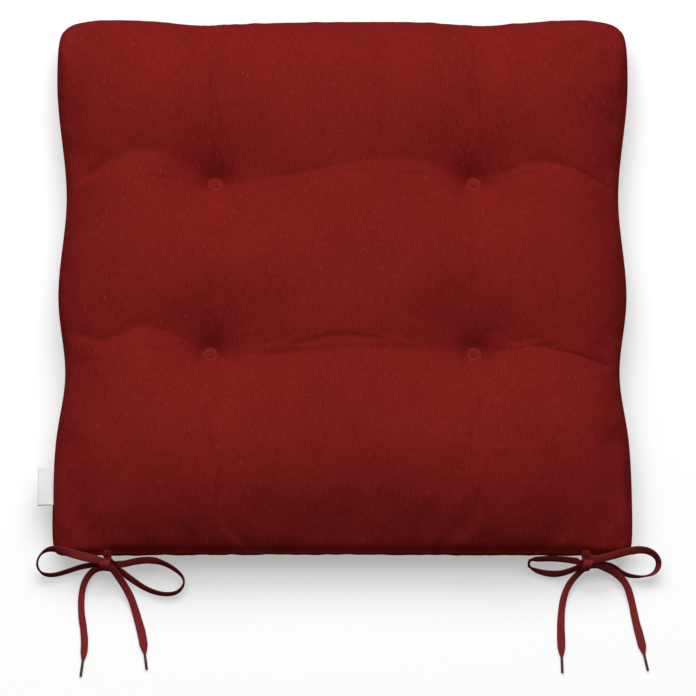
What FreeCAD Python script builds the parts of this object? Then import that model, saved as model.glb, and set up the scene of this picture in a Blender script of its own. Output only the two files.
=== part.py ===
import FreeCAD, Part

import math
import os
import re

import Sketcher

V = FreeCAD.Vector

# Tufted seat pad, in millimetres. The pad lies flat: +Z is up, the origin is at the centre
# of the underside, -Y is the edge that carries the ties and -X the edge with the label.

SIZES = [
    # cover
    ("pad_width", 400.0),            # seam to seam, left to right
    ("pad_depth", 400.0),            # seam to seam, near edge to far edge
    ("corner_radius", 14.0),         # seam corner, seen from above
    ("crown_height", 60.0),          # underside to the top of the filling
    ("seam_height", 22.0),           # underside to the seam
    ("cover_wall", 1.2),
    ("layer_gap", 0.2),              # air between one layer and the next
    ("wadding_loft", 10.0),
    ("seam_allowance", 12.0),        # turned-in strip of cloth inside the seam
    # pillow profile: how far in from the seam, and what share of the rise is reached there
    ("top_low_inset", 12.0),
    ("top_low_rise", 0.37),
    ("top_mid_inset", 34.0),
    ("top_mid_rise", 0.74),
    ("top_crown_inset", 80.0),
    ("base_low_inset", 9.0),
    ("base_low_rise", 0.45),
    ("base_mid_inset", 24.0),
    ("base_mid_rise", 0.82),
    ("base_flat_inset", 48.0),
    ("corner_growth", 0.5),          # corner radius gained per millimetre of inset
    ("edge_share", 1.3),             # inset of a layer's edge per millimetre of layer
    # tufts
    ("tuft_height", 29.0),           # middle of the pinched filling
    ("tuft_pinch", 8.0),             # cover to cover at a tuft
    ("tuft_floor", 6.5),             # radius of the flat floor of a dimple
    ("dimple_flare", 1.0),           # radius gained per millimetre of height
    ("tack_ring", 4.5),              # radius of the sewn ring
    ("tack_thread", 0.6),            # radius of the ring's bundle of thread
    ("needle_thread", 0.4),          # radius of the thread through the pad
    ("needle_play", 0.05),           # gap round that thread
    ("far_left_x", -88.5),
    ("far_left_y", 71.0),
    ("far_right_x", 92.0),
    ("far_right_y", 71.0),
    ("near_left_x", -91.5),
    ("near_left_y", -57.0),
    ("near_right_x", 91.5),
    ("near_right_y", -57.0),
    # seam thread
    ("seam_thread_inset", 4.6),
    ("seam_thread_width", 0.8),
    ("seam_thread_rise", 0.6),
    # ties
    ("tie_left_inset", 38.0),        # pad's side to the middle of the ties
    ("tie_right_inset", 32.0),
    ("tie_play", 0.3),               # gap between the tack and the lace root
    ("tack_bar_length", 7.0),
    ("tack_bar_rise", 2.6),
    ("tack_bar_depth", 0.8),
    ("root_radius", 1.4),
    ("root_length", 8.0),
    ("lace_radius", 1.25),           # round section with the same cloth in it as the flat braid
    ("aglet_radius", 1.0),
    ("aglet_length", 12.0),
    # label
    ("label_inset", 49.5),           # near edge to the middle of the label
    ("label_width", 28.0),           # along the seam
    ("label_reach", 9.5),            # out from the seam
    ("label_thickness", 0.9),        # both plies
    ("label_slit", 0.2),             # between the plies
    ("label_hem", 0.5),              # fold at the outer edge
    ("label_play", 0.9),             # from the seam to the label's inner edge
]

NEEDLES = 6                          # threads through the pad at one tuft
TUFTS = ["far_left", "far_right", "near_left", "near_right"]

# Points of each lace, from where it leaves its root to where its tip begins: x from the middle
# of its root, y from the near edge's seam and z from the floor. The knot lies below and outside
# the seam, the loops lie beside it and the tails on the floor.
LACE_ROUTES = {
    "tie_left_outer": [
        (-1.5, -2.9, 20.7), (-3.3, -2.6, 15.0), (-7.0, -2.6, 8.6), (-15.0, -3.4, 5.0),
        (-25.0, -5.5, 3.6), (-37.0, -8.6, 3.4), (-45.5, -7.5, 5.0), (-48.5, -3.8, 9.5),
        (-44.0, -1.8, 14.5), (-32.0, -1.6, 15.5), (-19.0, -3.2, 14.6), (-8.0, -6.0, 14.0),
        (1.0, -9.4, 12.0), (8.2, -14.4, 7.6), (14.0, -22.0, 3.2), (19.0, -33.0, 1.8),
        (22.6, -46.0, 1.6), (25.0, -57.5, 1.6), (25.8, -66.0, 1.6),
    ],
    "tie_left_inner": [
        (1.5, -3.4, 21.0), (2.0, -5.6, 15.5), (5.0, -4.8, 10.4), (14.0, -1.2, 8.6),
        (26.0, 1.0, 8.4), (38.0, -1.6, 7.4), (48.0, -6.6, 6.6), (53.4, -13.4, 5.4),
        (50.0, -20.6, 4.2), (41.0, -23.4, 3.6), (30.0, -21.2, 3.4), (19.5, -15.6, 3.4),
        (10.0, -8.6, 4.4), (0.5, -4.0, 5.4), (-9.0, -6.0, 4.6), (-15.0, -13.0, 2.8),
        (-18.2, -23.5, 1.8), (-18.4, -36.5, 1.6), (-16.6, -49.5, 1.6), (-15.8, -61.5, 1.6),
        (-16.8, -71.0, 1.6),
    ],
    "tie_right_inner": [
        (-1.5, -3.4, 21.0), (-1.8, -5.6, 15.6), (-6.0, -4.2, 11.0), (-16.0, 0.0, 9.0),
        (-28.0, 1.6, 7.6), (-37.0, 1.0, 6.2), (-39.4, -2.8, 4.6), (-34.0, -5.8, 3.6),
        (-24.0, -7.8, 3.8), (-14.0, -7.6, 5.6), (-5.0, -7.4, 9.6), (3.5, -8.4, 13.0),
        (12.0, -8.0, 11.4), (20.5, -10.4, 7.0), (27.0, -16.4, 3.4), (31.0, -27.0, 1.8),
        (34.0, -40.5, 1.6), (37.6, -54.0, 1.6), (40.0, -66.5, 1.6),
    ],
    "tie_right_outer": [
        (1.5, -3.4, 21.0), (3.5, -5.4, 16.8), (10.5, -5.0, 15.2), (21.0, -2.4, 15.0),
        (32.5, -1.2, 15.4), (43.5, -1.6, 13.0), (49.6, -4.2, 9.0), (45.0, -7.8, 5.4),
        (36.0, -9.6, 3.6), (25.5, -7.4, 3.6), (15.5, -4.2, 4.4), (5.5, -3.4, 5.0),
        (-3.5, -7.2, 4.4), (-10.0, -14.6, 2.8), (-14.4, -25.0, 1.8), (-16.8, -38.5, 1.6),
        (-17.4, -53.6, 1.6), (-16.8, -68.5, 1.6),
    ],
}

ARC_SHARE = 0.45                     # part of the shorter run that an arc takes from it

TIE_X = {"left": "tie_left_inset - pad_width / 2", "right": "pad_width / 2 - tie_right_inset"}
NEAR_EDGE = "- pad_depth / 2"


doc = FreeCAD.newDocument("seat_pad")


# ---------------------------------------------------------------------------- sheet and helpers

def make_sheet():
    """Spreadsheet of the driving sizes, one named cell each."""
    sheet = doc.addObject("Spreadsheet::Sheet", "sizes")
    for row, (alias, value) in enumerate(SIZES, start=1):
        sheet.set(f"A{row}", alias)
        sheet.set(f"B{row}", str(value))
        sheet.setAlias(f"B{row}", alias)
    doc.recompute()
    return sheet


sheet = make_sheet()


def size(alias):
    return float(sheet.get(alias))


def bind(target, **formulas):
    """Bind properties to the sheet. Every word of a formula that is a cell's name reads the cell."""
    names = "|".join(alias for alias, _ in SIZES)
    for prop, formula in formulas.items():
        text = re.sub(rf"\b({names})\b", r"sizes.\1", formula)
        target.setExpression(prop.replace("__", "."), text)
    return target


def place(target, x, y, z):
    return bind(target, Placement__Base__x=x, Placement__Base__y=y, Placement__Base__z=z)


def cut(name, base, *tools):
    """base with every tool taken away."""
    result = base
    for number, tool in enumerate(tools, start=1):
        step = doc.addObject("Part::Cut", name if number == len(tools) else f"{name}_step_{number}")
        step.Base = result
        step.Tool = tool
        result = step
    return result


def fuse(name, pieces):
    result = doc.addObject("Part::MultiFuse", name)
    result.Shapes = pieces
    return result


def body_with_origin(name):
    body = doc.addObject("PartDesign::Body", name)
    doc.recompute()
    return body


def xy_plane(body):
    return next(item for item in body.Origin.OriginFeatures if item.Role == "XY_Plane")


def flat_sketch(body, name, height):
    """Sketch parallel to the floor, at the height that the formula gives."""
    sketch = body.newObject("Sketcher::SketchObject", name)
    sketch.AttachmentSupport = [(xy_plane(body), "")]
    sketch.MapMode = "FlatFace"
    bind(sketch, AttachmentOffset__Base__z=height)
    return sketch


def add_rounded_square(sketch, width, depth, radius):
    """Rounded rectangle centred on the origin, its three sizes bound to formulas."""
    half = 60.0
    corner = 10.0
    inner = half - corner
    first = sketch.GeometryCount
    sides = [
        (V(-inner, -half, 0), V(inner, -half, 0)),
        (V(half, -inner, 0), V(half, inner, 0)),
        (V(inner, half, 0), V(-inner, half, 0)),
        (V(-half, inner, 0), V(-half, -inner, 0)),
    ]
    for start, end in sides:
        sketch.addGeometry(Part.LineSegment(start, end), False)
    centres = [V(inner, -inner, 0), V(inner, inner, 0), V(-inner, inner, 0), V(-inner, -inner, 0)]
    for number, centre in enumerate(centres):
        start = math.radians(-90.0 + 90.0 * number)
        circle = Part.Circle(centre, V(0, 0, 1), corner)
        sketch.addGeometry(Part.ArcOfCircle(circle, start, start + math.pi / 2), False)
    for number in range(4):
        line = first + number
        arc = first + 4 + number
        following = first + (number + 1) % 4
        sketch.addConstraint(Sketcher.Constraint("Tangent", line, 2, arc, 1))
        sketch.addConstraint(Sketcher.Constraint("Tangent", arc, 2, following, 1))
        direction = "Horizontal" if number % 2 == 0 else "Vertical"
        sketch.addConstraint(Sketcher.Constraint(direction, line))
    for number in range(1, 4):
        sketch.addConstraint(Sketcher.Constraint("Equal", first + 4, first + 4 + number))
    sketch.addConstraint(Sketcher.Constraint("Symmetric", first, 1, first + 2, 1, -1, 1))
    driving = [
        ("DistanceX", (first + 3, 1, first + 1, 1), 2 * half, width),
        ("DistanceY", (first, 1, first + 2, 1), 2 * half, depth),
        ("Radius", (first + 4,), corner, radius),
    ]
    for kind, where, value, formula in driving:
        number = sketch.addConstraint(Sketcher.Constraint(kind, *where, value))
        bind(sketch, **{f"Constraints[{number}]": formula})


# ---------------------------------------------------------------------------- pillow shapes

# Stations of each half of the pad: inset from the seam, and share of the rise.
TOP_STATIONS = [
    ("top_low_inset", "top_low_rise"),
    ("top_mid_inset", "top_mid_rise"),
    ("top_crown_inset", "1"),
]
BASE_STATIONS = [
    ("base_low_inset", "base_low_rise"),
    ("base_mid_inset", "base_mid_rise"),
    ("base_flat_inset", "1"),
]
TOP_RISE = "(crown_height - seam_height)"
BASE_RISE = "(seam_height)"


def station_sketch(body, name, layer, inset, height):
    edge = f"2 * ({inset} + edge_share * ({layer}))"
    sketch = flat_sketch(body, name, height)
    radius = f"corner_radius + corner_growth * {inset}"
    add_rounded_square(sketch, f"pad_width - {edge}", f"pad_depth - {edge}", radius)
    return sketch


def half_stations(side):
    """Inset, share of the rise, direction and full rise of one half's stations."""
    if side == "top":
        return TOP_STATIONS, "+", TOP_RISE
    return BASE_STATIONS, "-", BASE_RISE


def pillow(name, layer, sides):
    """Closed pillow, a layer's depth inside the cover: rounded squares joined by ruled faces."""
    body = body_with_origin(name)
    sections = [station_sketch(body, f"{name}_seam", layer, "0", "seam_height")]
    for side in sides:
        stations, sign, rise = half_stations(side)
        made = []
        for number, (inset, share) in enumerate(stations):
            height = f"seam_height {sign} ({rise} - ({layer})) * {share}"
            made.append(station_sketch(body, f"{name}_{side}_{number}", layer, inset, height))
        sections = sections + made if side == "top" else made[::-1] + sections
    loft = body.newObject("PartDesign::AdditiveLoft", f"{name}_loft")
    loft.Profile = sections[0]
    loft.Sections = sections[1:]
    loft.Ruled = True
    body.Tip = loft
    return body


def seam_frame(name, outer_inset, inner_inset, low, rise):
    """Flat frame that follows the seam: a rounded square with a smaller one taken out."""
    body = body_with_origin(name)
    sketch = flat_sketch(body, f"{name}_outline", low)
    for inset in (outer_inset, inner_inset):
        edge = f"2 * ({inset})"
        add_rounded_square(sketch, f"pad_width - {edge}", f"pad_depth - {edge}", "corner_radius")
    pad = body.newObject("PartDesign::Pad", f"{name}_pad")
    pad.Profile = sketch
    bind(pad, Length=rise)
    body.Tip = pad
    return body


def tuft_cones(name, side, layer):
    """Four cones that narrow towards the tufts, a layer's depth outside the dimples."""
    reach = 1.0
    cones = []
    narrow = f"tuft_floor + 0.5 * ({layer})"
    for tuft in TUFTS:
        cone = doc.addObject("Part::Cone", f"{name}_{tuft}")
        if side == "top":
            low = f"tuft_height + tuft_pinch / 2 - ({layer})"
            height = f"crown_height + {reach} - ({low})"
            bind(cone, Radius1=narrow, Radius2=f"{narrow} + dimple_flare * ({height})", Height=height)
            place(cone, f"{tuft}_x", f"{tuft}_y", low)
        else:
            height = f"tuft_height - tuft_pinch / 2 + ({layer}) + {reach}"
            bind(cone, Radius1=f"{narrow} + dimple_flare * ({height})", Radius2=narrow, Height=height)
            place(cone, f"{tuft}_x", f"{tuft}_y", f"- {reach}")
        cones.append(cone)
    return fuse(name, cones)


def needle_rods(name, tuft, radius, low, height):
    """Rods in a ring round a tuft's centre."""
    rods = []
    for number in range(NEEDLES):
        angle = 360.0 * number / NEEDLES
        rod = doc.addObject("Part::Cylinder", f"{name}_{number}")
        bind(rod, Radius=radius, Height=height)
        x = f"{tuft}_x + tack_ring * cos({angle} deg)"
        y = f"{tuft}_y + tack_ring * sin({angle} deg)"
        place(rod, x, y, low)
        rods.append(rod)
    return rods


# ---------------------------------------------------------------------------- pad

INSIDE_COVER = "cover_wall"
FILLING = "cover_wall + layer_gap"
UNDER_WADDING = "cover_wall + layer_gap + wadding_loft"
FOAM = "cover_wall + 2 * layer_gap + wadding_loft"


def needle_holes():
    holes = []
    for tuft in TUFTS:
        low = "tuft_height - tuft_pinch / 2 - 1"
        holes += needle_rods(f"needle_hole_{tuft}", tuft, "needle_thread + needle_play", low, "tuft_pinch + 2")
    return fuse("needle_holes", holes)


def make_cover(side, holes):
    """One panel: a shell with a dimple at each tuft and its seam allowance turned in."""
    outer = pillow(f"cover_{side}_outer", "0", [side])
    inner = pillow(f"cover_{side}_inner", INSIDE_COVER, [side])
    dimples = tuft_cones(f"cover_{side}_dimples", side, "0")
    funnels = tuft_cones(f"cover_{side}_funnels", side, INSIDE_COVER)
    low = "seam_height" if side == "top" else "seam_height - cover_wall"
    allowance = seam_frame(f"cover_{side}_allowance", "0", "seam_allowance", low, "cover_wall")
    cavity = cut(f"cover_{side}_cavity", inner, funnels, allowance)
    return cut(f"cover_{side}", outer, cavity, dimples, holes)


def make_wadding(side):
    """One sheet of wadding between the cover and the foam, open at the tufts."""
    outer = pillow(f"wadding_{side}_outer", FILLING, [side])
    inner = pillow(f"wadding_{side}_inner", UNDER_WADDING, [side])
    funnels = tuft_cones(f"wadding_{side}_funnels", side, FILLING)
    if side == "top":
        low = "seam_height"
        rise = "cover_wall + seam_thread_rise + layer_gap"
    else:
        low = "seam_height - cover_wall - layer_gap"
        rise = "cover_wall + layer_gap"
    slab = doc.addObject("Part::Box", f"wadding_{side}_slab")
    bind(slab, Length="pad_width", Width="pad_depth", Height=rise)
    place(slab, "- pad_width / 2", "- pad_depth / 2", low)
    return cut(f"wadding_{side}", outer, inner, funnels, slab)


def make_foam(holes):
    block = pillow("foam_block", FOAM, ["bottom", "top"])
    above = tuft_cones("foam_funnels_top", "top", FILLING)
    below = tuft_cones("foam_funnels_bottom", "bottom", FILLING)
    return cut("foam_core", block, above, below, holes)


def make_seam_thread():
    """Closed run of thread that lies on the upper seam allowance."""
    inner = "seam_thread_inset + seam_thread_width"
    low = "seam_height + cover_wall"
    return seam_frame("seam_stitching", "seam_thread_inset", inner, low, "seam_thread_rise")


def make_tack(tuft):
    """Tuft stitch: a ring of thread on each cover, joined by threads through the pad."""
    name = f"tuft_stitch_{tuft}"
    low = "tuft_height - tuft_pinch / 2 - tack_thread"
    high = "tuft_height + tuft_pinch / 2 + tack_thread"
    pieces = needle_rods(f"{name}_thread", tuft, "needle_thread", low, "tuft_pinch + 2 * tack_thread")
    for end, height in (("under", low), ("over", high)):
        ring = doc.addObject("Part::Torus", f"{name}_{end}")
        bind(ring, Radius1="tack_ring", Radius2="tack_thread")
        place(ring, f"{tuft}_x", f"{tuft}_y", height)
        pieces.append(ring)
    return fuse(name, pieces)


# ---------------------------------------------------------------------------- ties

def route_wire(points):
    """Straight runs joined by tangent arcs. Returns the wire and the arcs' radii."""
    points = [V(*point) for point in points]
    edges = []
    radii = []
    start = points[0]
    for before, corner, after in zip(points, points[1:], points[2:]):
        arriving = corner - before
        leaving = after - corner
        shorter = min(arriving.Length, leaving.Length)
        half_turn = arriving.getAngle(leaving) / 2
        setback = ARC_SHARE * shorter
        radius = setback / math.tan(half_turn)
        arriving.normalize()
        leaving.normalize()
        arc_start = corner - arriving * setback
        arc_end = corner + leaving * setback
        inward = (leaving - arriving).normalize()
        middle = corner + inward * (radius / math.cos(half_turn) - radius)
        edges.append(Part.LineSegment(start, arc_start).toShape())
        edges.append(Part.Arc(arc_start, middle, arc_end).toShape())
        radii.append(radius)
        start = arc_end
    edges.append(Part.LineSegment(start, points[-1]).toShape())
    return Part.Wire(edges), radii


def make_lace(name, side, points):
    """Round tube along the lace's route."""
    wire, radii = route_wire(points)
    radius = size("lace_radius")
    heading = V(*points[1]) - V(*points[0])
    section = Part.Wire(Part.makeCircle(radius, V(*points[0]), heading))
    tube = wire.makePipeShell([section], True, False)
    lace = doc.addObject("Part::Feature", name)
    lace.Shape = tube
    place(lace, TIE_X[side], NEAR_EDGE, "0")
    share = tube.Volume / (math.pi * radius ** 2 * wire.Length)
    listed = " ".join(f"{value:.1f}" for value in radii)
    print(f"{name}: length {wire.Length:.1f}, volume over section times length {share:.4f}, radii {listed}")
    return lace


def make_aglet(name, side, points):
    """Hard tip that carries on straight from the lace's end."""
    end = V(*points[-1])
    heading = (end - V(*points[-2])).normalize()
    aglet = doc.addObject("Part::Cylinder", name)
    bind(aglet, Radius="aglet_radius", Height="aglet_length")
    aglet.Placement = FreeCAD.Placement(V(0, 0, 0), FreeCAD.Rotation(V(0, 0, 1), heading))
    return place(aglet, f"{TIE_X[side]} + ({end.x})", f"{NEAR_EDGE} + ({end.y})", f"{end.z}")


def make_tie_fixings(side):
    """Bar tack on the seam, and the folded lace end that turns in front of it."""
    tack = doc.addObject("Part::Box", f"tie_tack_{side}")
    bind(tack, Length="tack_bar_length", Width="tack_bar_depth", Height="tack_bar_rise")
    x = f"{TIE_X[side]} - tack_bar_length / 2"
    place(tack, x, f"{NEAR_EDGE} - tack_bar_depth", "seam_height - tack_bar_rise / 2")
    root = doc.addObject("Part::Cylinder", f"tie_root_{side}")
    bind(root, Radius="root_radius", Height="root_length")
    root.Placement = FreeCAD.Placement(V(0, 0, 0), FreeCAD.Rotation(V(0, 1, 0), 90))
    y = f"{NEAR_EDGE} - tack_bar_depth - tie_play - root_radius"
    place(root, f"{TIE_X[side]} - root_length / 2", y, "seam_height")
    return [tack, root]


# ---------------------------------------------------------------------------- label

def make_label():
    """Ribbon folded in two, its fold at the outer edge."""
    block = doc.addObject("Part::Box", "label_block")
    bind(block, Length="label_reach", Width="label_width", Height="label_thickness")
    x = "- pad_width / 2 - label_play - label_reach"
    y = f"{NEAR_EDGE} + label_inset - label_width / 2"
    place(block, x, y, "seam_height - label_thickness / 2")
    slit = doc.addObject("Part::Box", "label_gap")
    bind(slit, Length="label_reach", Width="label_width + 2", Height="label_slit")
    place(slit, f"{x} + label_hem", f"{y} - 1", "seam_height - label_slit / 2")
    return cut("side_label", block, slit)


# ---------------------------------------------------------------------------- whole part

def build():
    holes = needle_holes()
    nodes = [make_cover("top", holes), make_cover("bottom", holes)]
    nodes += [make_wadding("top"), make_wadding("bottom"), make_foam(holes), make_seam_thread()]
    nodes += [make_tack(tuft) for tuft in TUFTS]
    for side in ("left", "right"):
        nodes += make_tie_fixings(side)
    for name, points in LACE_ROUTES.items():
        side = name.split("_")[1]
        nodes.append(make_lace(name, side, points))
        nodes.append(make_aglet(name.replace("tie", "aglet"), side, points))
    nodes.append(make_label())
    for node in nodes:
        node.Label = node.Name
    doc.recompute()
    return nodes


def check(nodes):
    for item in doc.Objects:
        if "Invalid" in item.State or "Error" in item.State:
            raise RuntimeError(f"{item.Name} failed: {item.State}")
    for node in nodes:
        shape = node.Shape
        if shape.isNull() or not shape.isValid() or not shape.Solids:
            raise RuntimeError(f"{node.Label} has no valid solid")


def write(nodes):
    os.makedirs("parts", exist_ok=True)
    for node in nodes:
        node.Shape.exportStep(os.path.join("parts", f"{node.Label}.step"))
        box = node.Shape.BoundBox
        print(
            f"{node.Label}: {len(node.Shape.Solids)} solid, {node.Shape.Volume / 1000:.2f} cm3, "
            f"x {box.XMin:.1f} {box.XMax:.1f} y {box.YMin:.1f} {box.YMax:.1f} z {box.ZMin:.1f} {box.ZMax:.1f}"
       )


nodes = build()
check(nodes)
write(nodes)
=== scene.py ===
import math

import bpy
import numpy as np
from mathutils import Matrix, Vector


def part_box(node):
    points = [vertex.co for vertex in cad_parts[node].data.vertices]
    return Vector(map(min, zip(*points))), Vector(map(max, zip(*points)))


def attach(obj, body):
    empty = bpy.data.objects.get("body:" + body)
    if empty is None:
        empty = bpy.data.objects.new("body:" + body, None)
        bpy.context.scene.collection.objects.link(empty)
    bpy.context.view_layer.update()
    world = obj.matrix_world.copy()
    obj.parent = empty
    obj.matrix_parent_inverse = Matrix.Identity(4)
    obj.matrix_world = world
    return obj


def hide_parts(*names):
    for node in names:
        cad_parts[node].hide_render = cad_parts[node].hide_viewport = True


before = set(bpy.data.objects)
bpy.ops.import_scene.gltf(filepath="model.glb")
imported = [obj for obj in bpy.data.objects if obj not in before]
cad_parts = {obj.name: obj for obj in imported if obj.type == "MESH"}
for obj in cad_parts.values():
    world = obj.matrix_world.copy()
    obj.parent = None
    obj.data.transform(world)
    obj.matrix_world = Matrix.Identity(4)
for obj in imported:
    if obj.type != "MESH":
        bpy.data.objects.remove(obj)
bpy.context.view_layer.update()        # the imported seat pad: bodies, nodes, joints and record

# A tufted seat pad with a knife-edge seam, four sewn tufts, a blank side label and two bows of
# flat braided lace. Everything is in metres in the frame's own axes: +Z up, the middle of the
# underside at the origin, the tied edge towards -Y. Each new surface is worked out with numpy.

COVER_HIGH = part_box("cover_top")[1]
HALF = COVER_HIGH.x                       # middle of the pad to its seam
NEAR_SEAM = -HALF                         # y of the tied edge
CROWN = COVER_HIGH.z                      # floor to the top of the filling
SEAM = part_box("cover_bottom")[1].z        # floor to the seam

TUFT_NAMES = [f"tuft_stitch_{row}_{side}" for row in ("far", "near") for side in ("left", "right")]
TUFT_BOXES = [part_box(name) for name in TUFT_NAMES]
TUFTS = np.array([[(low.x + high.x) / 2, (low.y + high.y) / 2] for low, high in TUFT_BOXES])
STITCH = 0.0012                           # height of the CAD's tacks above the cloth
TUFT_TOP = TUFT_BOXES[0][1].z - STITCH    # cloth under the stitches, above and below the pad
TUFT_BASE = TUFT_BOXES[0][0].z + STITCH


# ---- numpy shapes into meshes

def unit(vectors):
    """Each vector divided by its length."""
    return vectors / np.maximum(np.linalg.norm(vectors, axis=-1, keepdims=True), 1e-12)


def grid_faces(rows, columns, wrap=False, start=0):
    """Quads between neighbouring points of a grid of rows x columns points, numbered row by
    row from start. With wrap, the last column joins the first."""
    index = start + np.arange(rows * columns).reshape(rows, columns)
    beside = np.roll(index, -1, axis=1)
    quads = np.stack([index[:-1], beside[:-1], beside[1:], index[1:]], axis=-1)
    if not wrap:
        quads = quads[:, :-1]
    return quads.reshape(-1, 4)


def mesh_piece(name, points, faces, uv=None):
    """A smooth mesh object at the origin from an array of points and a list of faces, with one
    UV pair for each point."""
    mesh = bpy.data.meshes.new(name)
    mesh.from_pydata(np.asarray(points).tolist(), [], faces)
    if uv is not None:
        corner = np.zeros(len(mesh.loops), int)
        mesh.loops.foreach_get("vertex_index", corner)
        layer = mesh.uv_layers.new(name="cloth")
        layer.data.foreach_set("uv", np.asarray(uv)[corner].ravel())
    mesh.polygons.foreach_set("use_smooth", np.full(len(mesh.polygons), True))
    mesh.update()
    piece = bpy.data.objects.new(name, mesh)
    bpy.context.scene.collection.objects.link(piece)
    return piece


def facing_out(points, faces):
    """The faces of a closed shape, turned over if its signed volume, the sum over its faces of
    a corner dotted with the cross product of the next two, comes out negative."""
    first, second, third, last = (points[[face[k] for face in faces]] for k in (0, 1, 2, -1))
    volume = (first * (np.cross(second, third) + np.cross(third, last))).sum()
    return [face[::-1] for face in faces] if volume < 0 else faces


def knots(at, table):
    """Smooth curve through the (place, value) pairs of a table: between two pairs a cubic,
    whose slope at a pair is that between the pairs on each side of it."""
    place, value = np.array(table, float).T
    slope = np.gradient(value, place)
    k = np.clip(np.searchsorted(place, at) - 1, 0, len(place) - 2)
    width = place[k + 1] - place[k]
    t = np.clip((at - place[k]) / width, 0, 1)
    return ((2 * t**3 - 3 * t**2 + 1) * value[k] + (t**3 - 2 * t**2 + t) * width * slope[k]
            + (3 * t**2 - 2 * t**3) * value[k + 1] + (t**3 - t**2) * width * slope[k + 1])


def run_along(path):
    """Distance along a path to each of its points."""
    return np.concatenate([[0], np.cumsum(np.linalg.norm(np.diff(path, axis=0), axis=1))])


def sweep(path, across, above, outline, wide):
    """An outline carried along a path: ring i is path[i] plus the outline's first coordinate
    times across[i] plus its second times above[i], with a point at the middle of each end ring
    to close it. outline holds one closed loop of pairs for each path point. U runs from one edge
    to the other and back underneath, from 0 to wide, and V is the distance along the path."""
    rings = path[:, None] + outline[..., :1] * across[:, None] + outline[..., 1:] * above[:, None]
    rows, columns = rings.shape[:2]
    around = np.arange(columns)
    after = np.roll(around, -1)
    end, last = rows * columns, (rows - 1) * columns
    points = np.concatenate([rings.reshape(-1, 3), rings[:1].mean(1), rings[-1:].mean(1)])
    faces = grid_faces(rows, columns, wrap=True).tolist()
    faces += np.stack([after, around, np.full(columns, end)], 1).tolist()
    faces += np.stack([last + around, last + after, np.full(columns, end + 1)], 1).tolist()
    run = run_along(path)
    u = wide * (1 - abs(2 * around / columns - 1))
    uv = np.stack([np.tile(u, rows), np.repeat(run, columns)], 1)
    uv = np.concatenate([uv, [[wide / 2, run[0]], [wide / 2, run[-1]]]])
    return points, facing_out(points, faces), uv


def repeat_shape(shape, places, axes):
    """One small shape set at many places: copy k is places[k] plus each point's three
    coordinates times the three rows of axes[k]."""
    points, faces, uv = shape
    copies = places[:, None] + np.einsum("pc,kcd->kpd", points, axes)
    starts = len(points) * np.arange(len(places))
    shifted = [[corner + start for corner in face] for start in starts.tolist() for face in faces]
    return copies.reshape(-1, 3), shifted, np.tile(uv, (len(places), 1))


def join_shapes(shapes):
    """Several shapes as one."""
    starts = np.cumsum([0] + [len(points) for points, _, _ in shapes]).tolist()
    faces = [[corner + start for corner in face]
             for start, (_, some, _) in zip(starts, shapes) for face in some]
    points = np.concatenate([points for points, _, _ in shapes])
    return points, faces, np.concatenate([uv for _, _, uv in shapes])


def circle(count, radius=1.0):
    """A loop of count points round a circle."""
    turn = np.linspace(0, 2 * math.pi, count, endpoint=False)
    return radius * np.stack([np.cos(turn), np.sin(turn)], 1)


def squared_circle(count, across, above):
    """A loop of count points round a circle that is squared out, by the cosine raised to the
    power across and the sine raised to the power above, each with its own sign."""
    c, s = circle(count).T
    return np.stack([np.sign(c) * abs(c) ** across, np.sign(s) * abs(s) ** above], 1)


def cross_directions(path):
    """Two directions square to a path and to each other: the tangent crossed with an upright
    that leans over where the path is steep, and the tangent crossed with that."""
    along = unit(np.gradient(path, axis=0))
    steep = along[:, 2:] ** 2
    upright = np.array([0, 0, 1.0]) * (1 - steep) + np.array([0, -1.0, 0]) * steep
    across = unit(np.cross(upright, along))
    return across, np.cross(along, across)


def thread(path, radius):
    """A round thread along a path."""
    sides = 6
    outline = np.broadcast_to(circle(sides, radius), (len(path), sides, 2))
    return sweep(path, *cross_directions(path), outline, 2 * radius)


# ---- the pillow's own surface

# How far the seam is pulled in by the filling: (place along the side, inset)
SIDE_PULL = [(-0.200, 0.0003), (-0.170, 0.0002), (-0.118, 0.0020), (-0.070, 0.0079),
             (-0.011, 0.0025), (0.065, 0.0075), (0.150, 0.0), (0.200, 0.0005)]
FAR_PULL = [(-0.200, -0.0012), (-0.168, -0.0026), (-0.135, -0.0013), (-0.099, 0.0022),
            (-0.060, 0.0006), (0.0, -0.0006), (0.060, 0.0), (0.097, 0.0026), (0.125, 0.0004),
            (0.168, -0.0026), (0.200, -0.0012)]
SIDE_EASE = 0.0006                        # let back out along the left and right sides
FAR_SQUARE, NEAR_SQUARE = 30, 46          # squareness of the outline's corners
FAR_DROOP, NEAR_DROOP = 0.006, 0.008      # how far the corners hang below the seam's height

# The two rows of valleys that run across the pad through the tufts: (x, y of the fold)
FAR_ROW = [(-0.200, 0.066), (-0.134, 0.091), (-0.0885, 0.071), (-0.036, 0.070), (0.0, 0.077),
           (0.043, 0.084), (0.078, 0.076), (0.092, 0.071), (0.117, 0.078), (0.140, 0.081),
           (0.200, 0.066)]
NEAR_ROW = [(-0.200, -0.069), (-0.132, -0.043), (-0.0915, -0.057), (-0.041, -0.064),
            (0.0, -0.062), (0.050, -0.058), (0.0915, -0.057), (0.150, -0.060), (0.200, -0.069)]
ROW_DEPTH = [(-0.200, 0.27), (-0.140, 0.24), (-0.090, 0.26), (0.0, 0.21), (0.090, 0.26),
             (0.140, 0.25), (0.200, 0.27)]
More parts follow.
